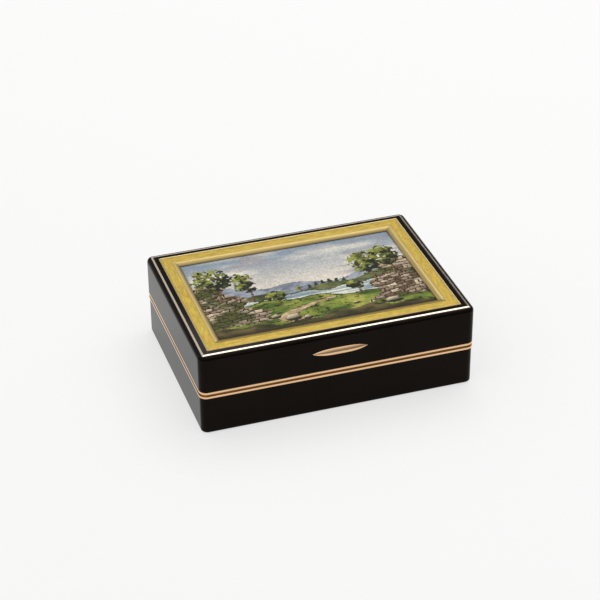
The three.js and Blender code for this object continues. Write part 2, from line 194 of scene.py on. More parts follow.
# White to the camera and in reflections, and plain lit paper to all other light
# From below it is clear, so that the box's underside can be looked at
paper, tree, shader = new_material("white_paper")
set_inputs(shader, Base_Color=paper_colour, Roughness=0.9, Specular_IOR_Level=0.1)
rays = add_node(tree, "LightPath")
white_glow = add_node(tree, "Emission")
seen = add_node(tree, "Math", operation="MAXIMUM")
seen_through = add_node(tree, "Math", operation="MAXIMUM")
share = add_node(tree, "Math", operation="MULTIPLY")
share.inputs[1].default_value = white_share
lit_or_white = add_node(tree, "MixShader")
side = add_node(tree, "NewGeometry")
clear = add_node(tree, "BsdfTransparent")
top_or_clear = add_node(tree, "MixShader")
wire_up(
    tree,
    (rays, "Is Camera Ray", seen, 0),
    (rays, "Is Glossy Ray", seen, 1),
    (seen, 0, seen_through, 0),
    (rays, "Is Transmission Ray", seen_through, 1),
    (seen_through, 0, share, 0),
    (share, 0, lit_or_white, 0),
    (shader, 0, lit_or_white, 1),
    (white_glow, 0, lit_or_white, 2),
    (side, "Backfacing", top_or_clear, 0),
    (lit_or_white, 0, top_or_clear, 1),
    (clear, 0, top_or_clear, 2),
    (top_or_clear, 0, tree.nodes["Material Output"], "Surface"),
)
paper_mesh.materials.append(paper)

scene.view_settings.view_transform = "Standard"


# Base shell
# The lower half of the box is a tray of dark horn-like shell, pressed in a mould and polished. Its
# edge is stepped down for the gold band, and a notch at the back takes the hinge.
half_width, half_depth, lid_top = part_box("lid_shell")[1]
base_inset = half_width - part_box("base_shell")[1].x
corner_radius = 2.3 * MM
bottom_radius = 0.9 * MM
base_wall = 2.25 * MM
base_floor = 2.4 * MM
hollow_corner = 1.2 * MM
seam_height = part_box("base_rim_band")[1].z + 0.02 * MM
band_step = 0.65 * MM
band_height = 1.12 * MM
flange_height = 0.65 * MM
hinge_reach = 1.70 * MM
hinge_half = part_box("hinge_plug_right")[1].x + 0.1 * MM
corner_steps = 12
weld_distance = 1e-7


def plan_outline(inset, height, corner):
    """The box's outline moved in by inset, at one height, anticlockwise from above."""
    reach_x = half_width - inset - corner
    reach_y = half_depth - inset - corner
    points = []
    for quarter, (side_x, side_y) in enumerate(((1, 1), (-1, 1), (-1, -1), (1, -1))):
        for step in range(corner_steps + 1):
            angle = (quarter + step / corner_steps) * math.pi / 2
            x = side_x * reach_x + corner * math.cos(angle)
            y = side_y * reach_y + corner * math.sin(angle)
            points.append((x, y, height))
    return points


def parallel_corner(inset):
    """A corner that keeps the wall's outline parallel as it moves in."""
    return max(corner_radius - inset, 0)


def quarter_round(inset, height, radius, rise, steps=10, corner_of=parallel_corner):
    """Levels along a quarter round, from its steep end to its flat end, up or down by rise."""
    levels = []
    for angle in np.linspace(0, math.pi / 2, steps + 1):
        at = inset + radius * (1 - math.cos(angle))
        levels.append((at, height + rise * radius * math.sin(angle), corner_of(at)))
    return levels


def skin(name, loops, closed):
    """A smooth skin over a run of loops, which comes back to the first loop or is capped."""
    form = bmesh.new()
    rows = [[form.verts.new(point) for point in loop] for loop in loops]
    ends = rows[1:] + ([rows[0]] if closed else [])
    for near, far in zip(rows, ends):
        for i in range(len(near)):
            j = (i + 1) % len(near)
            form.faces.new((near[i], near[j], far[j], far[i]))
    if not closed:
        form.faces.new(list(reversed(rows[0])))
        form.faces.new(rows[-1])
    bmesh.ops.remove_doubles(form, verts=form.verts, dist=weld_distance)
    bmesh.ops.recalc_face_normals(form, faces=form.faces)
    mesh = bpy.data.meshes.new(name)
    form.to_mesh(mesh)
    form.free()
    made = bpy.data.objects.new(name, mesh)
    scene.collection.objects.link(made)
    return made


def round_the_box(name, levels, closed):
    """A rim or tray from the levels of its section: how far in, how high and the corner's radius."""
    return skin(name, [plan_outline(*level) for level in levels], closed)


def polish(made, sharp_from):
    """Smooths a piece's curves, keeps its sharp edges and evens the normals of its flat faces."""
    made.data.polygons.foreach_set("use_smooth", [True] * len(made.data.polygons))
    made.data.set_sharp_from_angle(angle=math.radians(sharp_from))
    even = made.modifiers.new("even_normals", "WEIGHTED_NORMAL")
    even.keep_sharp = True


def cut_hinge_notch(made):
    """Takes the hinge's notch out of the back edge of a shell or band."""
    notch = round_the_box("notch", [(0, 0, 0), (0, 1, 0)], False)
    for vertex in notch.data.vertices:
        side = 1 if vertex.co.x > 0 else -1
        depth = 1 if vertex.co.y > 0 else -1
        top = 1 if vertex.co.z > 0.5 else -1
        vertex.co = (side * hinge_half, half_depth + depth * hinge_reach, seam_height + top * hinge_reach)
    cut = made.modifiers.new("hinge_notch", "BOOLEAN")
    cut.object = notch
    cut.operation = "DIFFERENCE"
    cut.solver = "EXACT"
    graph = bpy.context.evaluated_depsgraph_get()
    made.data = bpy.data.meshes.new_from_object(made.evaluated_get(graph))
    made.modifiers.clear()
    bpy.data.objects.remove(notch)


def dress(made, material):
    """Gives a piece its material."""
    made.data.materials.clear()
    made.data.materials.append(material)


def place(made, body, material, node, sharp_from=32):
    """Polishes and dresses a piece, gives it its body and hides the CAD node that it stands for."""
    polish(made, sharp_from)
    dress(made, material)
    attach(made, body)
    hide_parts(node)


def new_group(name, inputs, outputs):
    """An empty shader node group with named inputs and outputs, and its two end nodes."""
    group = bpy.data.node_groups.new(name, "ShaderNodeTree")
    for socket, kind, value in inputs:
        made = group.interface.new_socket(socket, in_out="INPUT", socket_type="NodeSocket" + kind)
        made.default_value = value
    for socket, kind in outputs:
        group.interface.new_socket(socket, in_out="OUTPUT", socket_type="NodeSocket" + kind)
    return group, group.nodes.new("NodeGroupInput"), group.nodes.new("NodeGroupOutput")


def place_group(tree, group, **values):
    """A group placed in a material with its own values."""
    return add_node(tree, "Group", node_tree=group, **values)


# Cloudy mottling in the depth of the shell, from nearly black to a deep red brown
mottling, group_in, group_out = new_group(
    "shell_mottling",
    [
        ("Cloud Size", "Float", 60),
        ("Dark", "Color", (0.001, 0.0008, 0.0007, 1)),
        ("Warm", "Color", (0.0036, 0.0018, 0.001, 1)),
    ],
    [("Colour", "Color")],
)
where = add_node(mottling, "TexCoord")
clouds = add_node(mottling, "TexNoise", Detail=5, Roughness=0.55, Distortion=1.2)
flecks = add_node(mottling, "TexNoise", Scale=900, Detail=3, Roughness=0.6)
cloud_ramp = add_node(mottling, "ValToRGB")
cloud_ramp.color_ramp.elements[0].position = 0.42
cloud_ramp.color_ramp.elements[1].position = 0.72
blend_flecks = add_node(mottling, "Math", operation="MULTIPLY_ADD")
blend_flecks.inputs[1].default_value = 0.12
tint = colour_mix(mottling)
wire_up(
    mottling,
    (where, "Object", clouds, "Vector"),
    (where, "Object", flecks, "Vector"),
    (group_in, "Cloud Size", clouds, "Scale"),
    (flecks, "Fac", blend_flecks, 0),
    (clouds, "Fac", blend_flecks, 2),
    (blend_flecks, 0, cloud_ramp, "Fac"),
    (cloud_ramp, "Color", tint, "Factor"),
    (group_in, "Dark", tint, "A"),
    (group_in, "Warm", tint, "B"),
    (tint, "Result", group_out, "Colour"),
)

# Hairline handling marks and faint smears that break up a polished surface
handling, group_in, group_out = new_group(
    "handling_marks",
    [("Polish", "Float", 0.1), ("Smears", "Float", 0.05), ("Hairlines", "Float", 0.05)],
    [("Roughness", "Float"), ("Height", "Float")],
)
where = add_node(handling, "TexCoord")
smear = add_node(handling, "TexNoise", Scale=90, Detail=4, Roughness=0.6)
stretch = add_node(handling, "Mapping", Rotation=(0.3, 0.2, 0.6), Scale=(60, 4000, 4000))
hairline = add_node(handling, "TexNoise", Scale=1, Detail=2, Roughness=0.5)
hairline_ramp = add_node(handling, "ValToRGB")
hairline_ramp.color_ramp.elements[0].position = 0.62
hairline_ramp.color_ramp.elements[1].position = 0.72
smear_part = add_node(handling, "Math", operation="MULTIPLY_ADD")
hairline_part = add_node(handling, "Math", operation="MULTIPLY_ADD")
wire_up(
    handling,
    (where, "Object", smear, "Vector"),
    (where, "Object", stretch, "Vector"),
    (stretch, "Vector", hairline, "Vector"),
    (hairline, "Fac", hairline_ramp, "Fac"),
    (smear, "Fac", smear_part, 0),
    (group_in, "Smears", smear_part, 1),
    (group_in, "Polish", smear_part, 2),
    (hairline_ramp, "Color", hairline_part, 0),
    (group_in, "Hairlines", hairline_part, 1),
    (smear_part, 0, hairline_part, 2),
    (hairline_part, 0, group_out, "Roughness"),
    (hairline_ramp, "Color", group_out, "Height"),
)

mark_depth = 0.02 * MM


def add_marks(tree, shader, polish_level, smears, hairlines, bump_strength):
    """Gives a shader its polish, its smears and its hairlines."""
    marks = place_group(tree, handling, Polish=polish_level, Smears=smears, Hairlines=hairlines)
    bump = add_node(tree, "Bump", Strength=bump_strength, Distance=mark_depth)
    wire_up(
        tree,
        (marks, "Roughness", shader, "Roughness"),
        (marks, "Height", bump, "Height"),
        (bump, "Normal", shader, "Normal"),
    )


dark_shell, tree, shader = new_material("dark_shell")
set_inputs(shader, IOR=1.18, Specular_Tint=(1, 0.8, 0.64, 1))
add_marks(tree, shader, 0.03, 0.05, 0.03, 0.04)
wire_up(tree, (place_group(tree, mottling), "Colour", shader, "Base Color"))

base_hollow = base_inset + base_wall
base_shell = round_the_box(
    "base_shell_body",
    [
        *reversed(quarter_round(base_inset, bottom_radius, bottom_radius, -1)),
        (base_inset, seam_height - band_height, parallel_corner(base_inset)),
        (band_step, seam_height - band_height, parallel_corner(band_step)),
        (band_step, seam_height - flange_height, parallel_corner(band_step)),
        (base_hollow, seam_height - flange_height, hollow_corner),
        (base_hollow, base_floor, hollow_corner),
    ],
    False,
)
cut_hinge_notch(base_shell)
place(base_shell, "base", dark_shell, "base_shell")


# Lid shell
# The cover is made like the base, with a rounded top edge, a square groove for the gold lines and a
# window for the picture. Its corners tighten towards the flat top, which starts to fall at the groove.
top_radius = 1.2 * MM
line_margin = 0.1 * MM
line_inset = top_radius + line_margin
line_fall = 0.12 * MM
line_width = 0.6 * MM
line_depth = 0.5 * MM
window_inset = 6.0 * MM
plate_thickness = 2.4 * MM
lid_wall = 2.4 * MM


def lid_corner(inset):
    """The lid's corner radius at a point of its rounded top edge."""
    sharpest = line_margin / (1 - math.sqrt(0.5))
    return corner_radius - (corner_radius - sharpest) * inset / top_radius


lid_shell = round_the_box(
    "lid_shell_body",
    [
        (0, seam_height + band_height, corner_radius),
        *quarter_round(0, lid_top - line_fall - top_radius, top_radius, 1, corner_of=lid_corner),
        (line_inset, lid_top - line_fall, 0),
        (line_inset, lid_top - line_depth, 0),
        (line_inset + line_width, lid_top - line_depth, 0),
        (line_inset + line_width, lid_top, 0),
        (window_inset, lid_top, 0),
        (window_inset, lid_top - plate_thickness, 0),
        (lid_wall, lid_top - plate_thickness, hollow_corner),
        (lid_wall, seam_height + flange_height, hollow_corner),
        (band_step, seam_height + flange_height, parallel_corner(band_step)),
        (band_step, seam_height + band_height, parallel_corner(band_step)),
    ],
    True,
)
cut_hinge_notch(lid_shell)
place(lid_shell, "lid", dark_shell, "lid_shell")


# Rim bands
# Each half of the box is rimmed with a polished gold mount. A narrow channel runs between them at the
# seam, half of it in each rim, and it is painted darker: old polish, and painted shade where shade falls in
# it.
band_thickness = 0.6 * MM
flange_thickness = 0.6 * MM
rim_height = 1.07 * MM
rim_edge = 0.15 * MM
channel_height = 0.36 * MM
channel_depth = 0.55 * MM
channel_edge = 0.06 * MM
half_seam = 0.02 * MM
channel_side = half_seam + channel_height
channel_reach = 2.2 * channel_depth
# How dark the channel is painted, for its old polish and for the shade that falls in it
channel_polish_and_shade = 0.52
paint_reach = 0.01 * MM

# Slow changes of tone over the gold, paler gold on rubbed edges, and brown old polish with painted shade in
# the corners
gold_tone, group_in, group_out = new_group(
    "gold_tone",
    [
        ("Gold", "Color", (0.8, 0.55, 0.25, 1)),
        ("Drift", "Float", 0.12),
        ("Wear", "Float", 0.5),
        ("Old Polish And Shade", "Float", 0),
    ],
    [("Colour", "Color")],
)
where = add_node(gold_tone, "TexCoord")
patches = add_node(gold_tone, "TexNoise", Scale=140, Detail=4, Roughness=0.6)
drift = add_node(gold_tone, "Math", operation="MULTIPLY")
redder = colour_mix(gold_tone, blend_type="MULTIPLY", B=(0.92, 0.72, 0.5, 1))
shape = add_node(gold_tone, "NewGeometry")
rubbed = add_node(gold_tone, "MapRange", From_Min=0.52, From_Max=0.62)
worn = add_node(gold_tone, "Math", operation="MULTIPLY")
paler = colour_mix(gold_tone, B=(0.95, 0.8, 0.56, 1))
# Browner where old polish and painted shade are painted on
polish_and_shade_browning = colour_mix(gold_tone, blend_type="MULTIPLY", B=(0.24, 0.2, 0.07, 1))
wire_up(
    gold_tone,
    (where, "Object", patches, "Vector"),
    (patches, "Fac", drift, 0),
    (group_in, "Drift", drift, 1),
    (drift, 0, redder, "Factor"),
    (group_in, "Gold", redder, "A"),
    (shape, "Pointiness", rubbed, "Value"),
    (rubbed, "Result", worn, 0),
    (group_in, "Wear", worn, 1),
    (worn, 0, paler, "Factor"),
    (redder, "Result", paler, "A"),
    (paler, "Result", polish_and_shade_browning, "A"),
    (group_in, "Old Polish And Shade", polish_and_shade_browning, "Factor"),
    (polish_and_shade_browning, "Result", group_out, "Colour"),
)


def gold_finish(name, colour, polish_level, smears, hairlines, bump_strength, painted=False):
    """A gold alloy with smears, hairlines and rubbed edges, and old polish with painted shade where it is
    painted on.
    """
    made, tree, shader = new_material(name)
    set_inputs(shader, Metallic=1)
    add_marks(tree, shader, polish_level, smears, hairlines, bump_strength)
    tone = place_group(tree, gold_tone, Gold=(*colour, 1))
    wire_up(tree, (tone, "Colour", shader, "Base Color"))
    if painted:
        # Old polish and painted shade, read from the points painted on the piece
        old_polish_and_shade = add_node(tree, "VertexColor", layer_name="old_polish_and_shade")
        wire_up(tree, (old_polish_and_shade, "Color", tone, "Old Polish And Shade"))
    return made


def paint(made, layer_name, shade_at):
    """Writes a shade from 0 to 1 on each point of a piece, for its material to read."""
    layer = made.data.color_attributes.new(layer_name, "FLOAT_COLOR", "POINT")
    for vertex, point in zip(made.data.vertices, layer.data):
        shade = shade_at(vertex.co)
        point.color = (shade, shade, shade, 1)


polished_gold = gold_finish("polished_gold", (0.84, 0.55, 0.31), 0.14, 0.08, 0.05, 0.1)
rim_gold = gold_finish("rim_gold", (0.84, 0.55, 0.31), 0.14, 0.08, 0.05, 0.1, painted=True)


def rim_levels(up, hollow):
    """The section of a rim: its outer face, its half of the channel, and the flange over the shell."""
    section = [
        (band_thickness, flange_thickness, 0),
        (band_thickness, rim_height, 0),
        *reversed(quarter_round(0, rim_height - rim_edge, rim_edge, 1, 6)),
        *quarter_round(0, channel_side + channel_edge, channel_edge, -1, 4),
        (channel_depth, channel_side, 0),
        (channel_depth, half_seam, 0),
    ]
    return [
        *((inset, seam_height + up * rise, parallel_corner(inset)) for inset, rise, _ in section),
        (hollow, seam_height + up * half_seam, hollow_corner),
        (hollow, seam_height + up * flange_thickness, hollow_corner),
    ]


def inset_of(point):
    """How far a point lies in from the nearest wall's outer face."""
    return min(half_width - abs(point.x), half_depth - abs(point.y))


def shade_and_polish_in_channel(point):
    """Old polish and painted shade lie in the channel, which reaches further in at the corners, and nowhere
    else.
    """
    in_channel = abs(point.z - seam_height) < channel_side + paint_reach
    return channel_polish_and_shade if in_channel and inset_of(point) < channel_reach else 0


for node, body, up, hollow in (
    ("base_rim_band", "base", -1, base_hollow),
    ("lid_rim_band", "lid", 1, lid_wall),
):
    rim = round_the_box(node + "_gold", rim_levels(up, hollow), True)
    cut_hinge_notch(rim)
    # The channel is painted darker: old polish, and painted shade
    paint(rim, "old_polish_and_shade", shade_and_polish_in_channel)
    place(rim, body, rim_gold, node)


# Inner lip and linings
# The bezel that stands up inside the closed lid, and the two thin pans of gold sheet that line the
# box. They were beaten over a block, so their edges and corners are soft.
lining_gold = gold_finish("lining_gold", (0.83, 0.56, 0.25), 0.2, 0.14, 0.08, 0.12)
lip_low, lip_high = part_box("base_inner_lip")
lip_inset = half_width - lip_high.x
lip_thickness = 0.5 * MM
lip_round = lip_thickness / 3
liner_thickness = 0.4 * MM
liner_corner = 1.4 * MM
liner_round = 1.1 * MM

lip_half = [
    (lip_inset, lip_low.z, hollow_corner),
    *quarter_round(lip_inset, lip_high.z - lip_round, lip_round, 1, 6, lambda at: hollow_corner),
]
lip_levels = lip_half + [
    (2 * lip_inset + lip_thickness - inset, height, corner) for inset, height, corner in reversed(lip_half)
]
lip = round_the_box("inner_lip_gold", lip_levels, True)
place(lip, "base", lining_gold, "base_inner_lip")

for node, body, towards in (("base_liner", "base", 1), ("lid_liner", "lid", -1)):
    low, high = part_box(node)
    closed_side, rim_side = (low.z, high.z) if towards > 0 else (high.z, low.z)
    outer = half_width - high.x
    inner = outer + liner_thickness
    faces = []
    for face, bend in ((outer, liner_round), (inner, liner_round - liner_thickness / 2)):
        foot = closed_side + towards * (face - outer + bend)
        bent = quarter_round(face, foot, bend, -towards, corner_of=lambda at: liner_corner)
        faces.append([(face, rim_side, liner_corner), *bent])
    outside, inside = faces
    pan = round_the_box(node + "_gold", [*reversed(outside), *inside], False)
    place(pan, body, lining_gold, node)


# Hinge
# Seven short tubes of gold, turn by turn on the base and on the lid, run on one pin between two
# cove strips. A domed plug closes each end.
knuckle_bore = 0.5 * MM
knuckle_chamfer = 0.12 * MM
low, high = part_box("base_knuckle_1")
knuckle_radius = (high.z - low.z) / 2
bearer_depth = 1.65 * MM
cove_radius = knuckle_radius + 0.1 * MM
turning_steps = 48


def turned_on_hinge(name, section, closed):
    """A round piece about the hinge's axis, from points of radius and place along X."""
    loops = []
    for radius, x in section:
        loop = []
        for angle in np.linspace(0, 2 * math.pi, turning_steps, endpoint=False):
            y = half_depth + radius * math.cos(angle)
            loop.append((x, y, seam_height + radius * math.sin(angle)))
        loops.append(loop)
    return skin(name, loops, closed)


for body, count in (("base", 4), ("lid", 3)):
    for number in range(1, count + 1):
        node = f"{body}_knuckle_{number}"
        left, right = (corner.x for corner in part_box(node))
        section = [(knuckle_bore, left)]
        for angle in np.linspace(0, math.pi / 2, 5):
            radius = knuckle_radius - knuckle_chamfer * (1 - math.sin(angle))
            section.append((radius, left + knuckle_chamfer * (1 - math.cos(angle))))
        section += [(radius, left + right - x) for radius, x in reversed(section)]
        knuckle = turned_on_hinge(node + "_gold", section, True)
        place(knuckle, body, polished_gold, node)

for side, node in ((-1, "hinge_plug_left"), (1, "hinge_plug_right")):
    low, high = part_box(node)
    near, far = (low.x, high.x) if side > 0 else (high.x, low.x)
    dome = (far - near) / 2
    section = [(knuckle_radius, near)]
    for angle in np.linspace(0, math.pi / 2, 9, endpoint=False):
        section.append((knuckle_radius * math.cos(angle), near + dome + dome * math.sin(angle)))
    plug = turned_on_hinge(node + "_gold", section, False)
    place(plug, "base", polished_gold, node)

for node, body, up in (("base_hinge_bearer", "base", -1), ("lid_hinge_bearer", "lid", 1)):
    low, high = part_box(node)
    start = math.asin(half_seam / cove_radius)
    section = [(bearer_depth, half_seam), (bearer_depth, bearer_depth), (0, bearer_depth)]
    for angle in np.linspace(math.pi / 2, start, 17):
        section.append((cove_radius * math.cos(angle), cove_radius * math.sin(angle)))
    loops = [
        [(x, half_depth - inward, seam_height + up * rise) for inward, rise in section]
        for x in (low.x, high.x)
    ]
    bearer = skin(node + "_gold", loops, False)
    place(bearer, body, polished_gold, node)

dress(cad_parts["hinge_pin"], polished_gold)


# Gold lines in the lid
# Four strips of pale gold wire, drawn to a low dome, are let into the groove round the lid and mitred
# at the corners. They lean outwards a little, as the lid's edge begins to round.
mitre_gap = 0.02 * MM
sides = ("front", "right", "back", "left")


def mitred_rail(name, section, quarter_turns):
    """A rail along one side of the box, with mitred ends, from points of inset and height."""
    along = half_depth if quarter_turns % 2 else half_width
    across = half_width if quarter_turns % 2 else half_depth
    loops = [
        [(end * (along - inset - mitre_gap / 2), inset - across, height) for inset, height in section]
        for end in (-1, 1)
    ]
    rail = skin(name, loops, False)
    rail.data.transform(Matrix.Rotation(quarter_turns * math.pi / 2, 4, "Z"))
    return rail


line_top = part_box("lid_stringing_front")[1].z
line_play = 0.025 * MM
line_outer = line_inset + line_play
line_inner = line_inset + line_width - line_play
line_crown = 0.012 * MM
line_section = [(line_outer, lid_top - line_depth)]
for angle in np.linspace(0, math.pi, 9):
    share = (1 - math.cos(angle)) / 2
    fall = line_fall * (1 - share) + line_crown * (1 - math.sin(angle))
    line_section.append((line_outer + (line_inner - line_outer) * share, line_top - fall))
line_section.append((line_inner, lid_top - line_depth))

pale_gold = gold_finish("pale_gold", (0.72, 0.62, 0.52), 0.12, 0.08, 0.05, 0.08)

for turns, side in enumerate(sides):
    strip = mitred_rail(f"gold_line_{side}", line_section, turns)
    place(strip, "lid", pale_gold, f"lid_stringing_{side}", 40)


# Picture frame
# Four rails of gold, mitred and soldered at the corners: a bead outside, a brushed flat between two
# narrow quirks, and a low crest that rounds over and down to the picture.
frame_low, frame_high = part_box("frame_rail_front")
frame_top = frame_high.z
frame_inset = frame_low.y + half_depth
bead = 0.26 * MM
flat_sink = 0.16 * MM
quirk_width = 0.08 * MM
quirk_depth = 0.05 * MM
crest_sink = 0.06 * MM
crest_shoulder = 0.3 * MM
crest_inset = frame_inset + 3.75 * MM
sight_inset = frame_inset + 5.2 * MM
sight_height = frame_top - 0.85 * MM
sight_edge = 0.12 * MM
slope_turn = math.radians(66)
skirt_outer = window_inset + 0.05 * MM
skirt_inner = skirt_outer + 0.5 * MM
skirt_bottom = frame_low.z
bead_fall = flat_sink + quirk_depth
crest_fall = bead_fall - crest_sink
flat_height = frame_top - flat_sink
sight_bevel = 0.03 * MM
level_reach = 0.005 * MM
# How dark the quirks are painted, for old polish and for the shade in them
quirk_polish_and_shade = 0.78


def moulding(middle, top, width, fall, from_angle, to_angle, steps=14):
    """Points over an oval moulding in section: angle 0 is its crown, and greater angles lie inwards."""
    return [
        (middle + width * math.sin(angle), top - fall * (1 - math.cos(angle)))
        for angle in np.linspace(from_angle, to_angle, steps)
    ]


bead_end = math.acos(1 - bead_fall / bead)
slope_width = (sight_inset - sight_bevel - crest_inset) / math.sin(slope_turn)
slope_fall = (frame_top - crest_sink - sight_height) / (1 - math.cos(slope_turn))
flat_start = frame_inset + bead * (1 + math.sin(bead_end)) + quirk_width
frame_section = [
    (frame_inset, lid_top),
    *moulding(frame_inset + bead, frame_top, bead, bead, -math.pi / 2, bead_end),
    (flat_start, flat_height),
    (crest_inset - crest_shoulder - quirk_width, flat_height),
    *moulding(crest_inset, frame_top - crest_sink, crest_shoulder, crest_fall, -math.pi / 2, 0, 7)[:-1],
    *moulding(crest_inset, frame_top - crest_sink, slope_width, slope_fall, 0, slope_turn, 16),
    (sight_inset, sight_height - sight_bevel),
    (sight_inset, sight_height - sight_edge),
    (skirt_inner, sight_height - sight_edge),
    (skirt_inner, skirt_bottom),
    (skirt_outer, skirt_bottom),
    (skirt_outer, lid_top),
]

# Brushing along the rail, with patches where the matting is redder or greener
streak_size = (2.4 * MM, 0.5 * MM, 0.5 * MM)
brushing, group_in, group_out = new_group(
    "brushed_flat",
    [
        ("Turn", "Vector", (0, 0, 0)),
        ("Gold", "Color", (0.57, 0.44, 0.085, 1)),
        ("Matt", "Float", 0.4),
    ],
    [("Colour", "Color"), ("Roughness", "Float"), ("Height", "Float")],
)
where = add_node(brushing, "TexCoord")
# The mapping's scale is the size of a streak: along the rail, across it and in height
along = add_node(brushing, "Mapping", vector_type="TEXTURE", Scale=streak_size)
streaks = add_node(brushing, "TexNoise", Scale=1, Detail=4, Roughness=0.65)
mottles = add_node(brushing, "TexNoise", Scale=700, Detail=3, Roughness=0.65)
mottle_ramp = add_node(brushing, "MapRange", From_Min=0.4, From_Max=0.6)
streak_ramp = add_node(brushing, "MapRange", From_Min=0.3, From_Max=0.7, To_Min=0.68, To_Max=1.24)
orange = colour_mix(brushing, blend_type="MULTIPLY", B=(1.04, 0.89, 0.95, 1))
streaked = add_node(brushing, "VectorMath", operation="SCALE")
matt_part = add_node(brushing, "Math", operation="MULTIPLY_ADD")
matt_part.inputs[1].default_value = 0.14
relief = add_node(brushing, "Math", operation="ADD")
wire_up(
    brushing,
    (where, "Object", along, "Vector"),
    (group_in, "Turn", along, "Rotation"),
    (along, "Vector", streaks, "Vector"),
    (where, "Object", mottles, "Vector"),
    (mottles, "Fac", mottle_ramp, "Value"),
    (streaks, "Fac", streak_ramp, "Value"),
    (group_in, "Gold", orange, "A"),
    (mottle_ramp, "Result", orange, "Factor"),
    (orange, "Result", streaked, 0),
    (streak_ramp, "Result", streaked, "Scale"),
    (streaked, "Vector", group_out, "Colour"),
    (streaks, "Fac", matt_part, 0),
    (group_in, "Matt", matt_part, 2),
    (matt_part, 0, group_out, "Roughness"),
    (streaks, "Fac", relief, 0),
    (mottles, "Fac", relief, 1),
    (relief, 0, group_out, "Height"),
)


def frame_finish(name, turn):
    """Burnished gold on the mouldings, and brushed and matted gold where the flat is painted."""
    made, tree, shader = new_material(name)
    set_inputs(shader, Metallic=1)
    flat = place_group(tree, brushing, Turn=(0, 0, turn))
    marks = place_group(tree, handling, Polish=0.28, Smears=0.12, Hairlines=0.05)
    burnished = place_group(tree, gold_tone, Gold=(0.74, 0.58, 0.24, 1), Wear=0.3)
    flat_part = add_node(tree, "VertexColor", layer_name="brushed")
    # Old polish with painted shade and painted reflection on the mouldings, painted on each rail
    old_polish_and_shade = add_node(tree, "VertexColor", layer_name="old_polish_and_shade")
    bump = add_node(tree, "Bump", Strength=0.35, Distance=mark_depth)
    wire_up(tree, (old_polish_and_shade, "Color", burnished, "Old Polish And Shade"), (bump, "Normal", shader, "Normal"))
    for source, look, data_type, target, socket in (
        (burnished, "Colour", "RGBA", shader, "Base Color"),
        (marks, "Roughness", "FLOAT", shader, "Roughness"),
        (marks, "Height", "FLOAT", bump, "Height"),
    ):
        blend = add_node(tree, "Mix", data_type=data_type)
        wire_up(
            tree,
            (flat_part, "Color", blend, "Factor"),
            (source, look, blend, "A"),
            (flat, look, blend, "B"),
            (blend, "Result", target, socket),
        )
    return made


def flat_shade(point):
    """The rail's flat is brushed."""
    return 1 if abs(point.z - flat_height) < level_reach else 0


def rail_polish_and_shade(on_bead, on_crest, at_sight, spread):
    """Old polish with painted shade lies in the quirks, and it gathers from the crest down to the picture
    as painted shade and reflection.
    """
    crest_start = crest_inset - 0.4 * MM

    def shade(point):
        inset = inset_of(point)
        if inset > crest_start:
            down = (inset - crest_start) / (sight_inset - crest_start)
            return on_crest + (at_sight - on_crest) * down ** spread
        return quirk_polish_and_shade if abs(point.z - frame_top + bead_fall) < level_reach else on_bead

    return shade


frame_gold = [frame_finish("frame_gold_long", 0), frame_finish("frame_gold_short", math.pi / 2)]
# How much old polish, painted shade and painted reflection lie on the bead, on the crest and beside the
# picture of the front, right, back and left rails, and how they spread: under 1 up to the crest, over 1
# only low down
polish_and_shade_by_side = ((0.55, 0.8, 1.0, 0.4), (0, 0.32, 0.4, 2.5), (0, 0.5, 0.42, 2.5), (0.28, 0.1, 1.0, 1.6))
for turns, side in enumerate(sides):
    rail = mitred_rail(f"frame_{side}_gold", frame_section, turns)
    paint(rail, "brushed", flat_shade)
    # Old polish, painted shade and painted reflection, different on each side
    paint(rail, "old_polish_and_shade", rail_polish_and_shade(*polish_and_shade_by_side[turns]))
    place(rail, "lid", frame_gold[turns % 2], f"frame_rail_{side}", 40)


# Picture
# A mosaic of thousands of small sticks of opaque glass, set in rows in mastic and ground flat. It
# shows a lake between hills, with trees, rocks and a clouded sky.
panel_low, panel_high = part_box("mosaic_panel")
panel_top = panel_high.z
tile_row = 0.37 * MM
tile_least = 0.28 * MM
tile_most = 0.6 * MM
tile_joint = 0.022 * MM
tile_depth = 0.03 * MM
glass_contrast = 1.18
glass_gain = 1.32
palest_glass = 0.9
under_frame = 0.3 * MM
# Width of the painted shade that the frame casts on the picture's edge
frame_shade_width = 0.6 * MM
picture_half_x = half_width - sight_inset + under_frame
picture_half_y = half_depth - sight_inset + under_frame


def tone(red, green, blue):
    """A glass colour from its everyday 0 to 255 values, as the shader wants it."""
    values = np.array((red, green, blue)) / 255
    return np.where(values <= 0.04045, values / 12.92, ((values + 0.055) / 1.055) ** 2.4)


def speckle(x, y, seed):
    """Smooth random values from 0 to 1 over the picture, one lattice cell to a unit."""
    cell_x, cell_y = np.floor(x), np.floor(y)
    part_x, part_y = x - cell_x, y - cell_y
    part_x = part_x * part_x * (3 - 2 * part_x)
    part_y = part_y * part_y * (3 - 2 * part_y)

    def corner(offset_x, offset_y):
        value = np.sin((cell_x + offset_x) * 127.1 + (cell_y + offset_y) * 311.7 + seed * 74.7)
        return (value * 43758.5453) % 1

    low = corner(0, 0) * (1 - part_x) + corner(1, 0) * part_x
    high = corner(0, 1) * (1 - part_x) + corner(1, 1) * part_x
    return low * (1 - part_y) + high * part_y


def layered(x, y, seed):
    """Four layers of speckle, each twice as fine and half as strong as the last."""
    total = np.zeros_like(x)
    for layer in range(4):
        total += speckle(x * 2 ** layer, y * 2 ** layer, seed + layer) / 2 ** (layer + 1)
    return total / 0.9375


def mix(first, second, share):
    """Colours between two, by a share for each tile."""
    share = np.clip(share, 0, 1)[:, None]
    return first * (1 - share) + second * share


def lay(colour, new, where):
    """Puts new colours in the place of the old ones where a condition holds."""
    return np.where(where[:, None], new, colour)


